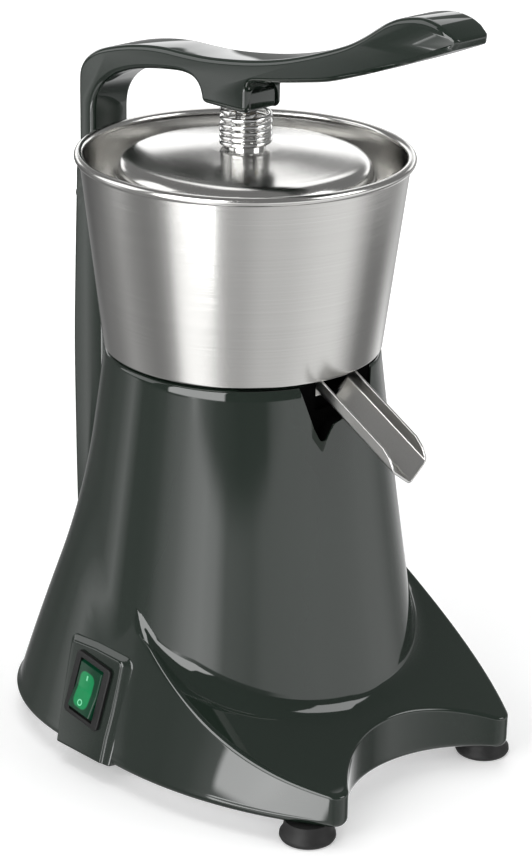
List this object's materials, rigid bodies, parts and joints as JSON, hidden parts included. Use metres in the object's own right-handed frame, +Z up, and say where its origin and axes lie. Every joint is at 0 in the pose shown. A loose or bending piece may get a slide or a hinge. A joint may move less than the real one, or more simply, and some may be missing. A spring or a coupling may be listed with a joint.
{
  "type": "juice press",
  "caption": "Motor-driven citrus juice press: flared cast housing with a steel bowl and spout, a fluted reamer, and a hinged lever that lowers a sprung steel dome onto the fruit.",
  "frame": {"origin": "on the floor under the reamer's axis, in the plane of the feet", "axes": "+Z up along the reamer's axis, spout and lever grip towards -Y, switch towards -X"},
  "size_m": [0.1947, 0.2533, 0.379],
  "materials": {
    "grey_paint": "glossy dark green-grey enamel",
    "spun_steel": "spun and brushed stainless steel",
    "bright_steel": "bright ground steel",
    "plated_steel": "zinc plated",
    "black_rubber": "matt black",
    "motor_castings": "plain die casting",
    "laminations": "varnished iron sheets",
    "copper_wire": "varnished copper wire",
    "bronze": "plain bearing bronze",
    "black_plastic": "black moulding",
    "green_key": "clear green moulding lit from behind",
    "reamer_plastic": "white food-grade moulding"
  },
  "bodies": {
    "stand": {"housing": "grey_paint", "base_plate": "plated_steel", "foot_front_left": "black_rubber", "foot_front_right": "black_rubber", "foot_rear_left": "black_rubber", "foot_rear_right": "black_rubber", "foot_screws": "plated_steel", "rear_pillar": "grey_paint", "pillar_screws": "plated_steel", "hinge_pin": "grey_paint", "stop_pin": "grey_paint", "hinge_grub_screw": "plated_steel", "bowl": "spun_steel", "spout": "spun_steel", "strainer": "spun_steel", "motor_upper_bell": "motor_castings", "motor_lower_bell": "motor_castings", "stator_core": "laminations", "stator_windings": "copper_wire", "motor_tie_bolts": "plated_steel", "motor_mount_screws": "plated_steel", "upper_bearing_outer_race": "bright_steel", "lower_bearing_outer_race": "bright_steel", "upper_bearing_balls": "bright_steel", "lower_bearing_balls": "bright_steel", "shaft_seal": "black_rubber", "switch_body": "black_plastic", "rocker_axle": "bright_steel", "switch_terminals": "bronze", "run_capacitor": "motor_castings", "capacitor_clip": "plated_steel", "terminal_block": "black_plastic", "cord_gland": "black_plastic", "gland_nut": "black_plastic"},
    "lever": {"lever_arm": "grey_paint", "hinge_bushes": "bronze", "stem_bush": "bronze", "retaining_pin": "bright_steel", "boss_cover": "grey_paint", "press_spring": "bright_steel"},
    "press_head": {"press_dome": "spun_steel", "press_stem": "bright_steel", "stem_washer": "plated_steel", "stem_nut": "plated_steel"},
    "rotor": {"drive_shaft": "bright_steel", "rotor_core": "laminations", "upper_bearing_inner_race": "bright_steel", "lower_bearing_inner_race": "bright_steel", "cooling_fan": "black_plastic", "reamer": "reamer_plastic", "drive_pin": "bright_steel"},
    "rocker": {"switch_rocker": "green_key"}
  },
  "joints": [
    {"name": "lever_swing", "type": "hinge", "parent": "stand", "child": "lever", "pos_m": [0, 0.0955, 0.265], "axis": [-1, 0, 0], "range_deg": [0, 75]},
    {"name": "press_slide", "type": "slide", "parent": "lever", "child": "press_head", "axis": [0, 0, 1], "range_m": [0, 0.006], "stiffness_N_per_m": 2500, "springref_m": -0.004, "deforming": ["press_spring"]},
    {"name": "reamer_spin", "type": "hinge", "parent": "stand", "child": "rotor", "pos_m": [0, 0, 0], "axis": [0, 0, 1], "continuous": true},
    {"name": "rocker_tilt", "type": "hinge", "parent": "stand", "child": "rocker", "pos_m": [-0.08862, 0.008, 0.04187], "axis": [-0.0254, -0.9903, -0.1368], "range_deg": [0, 10]}
  ]
}
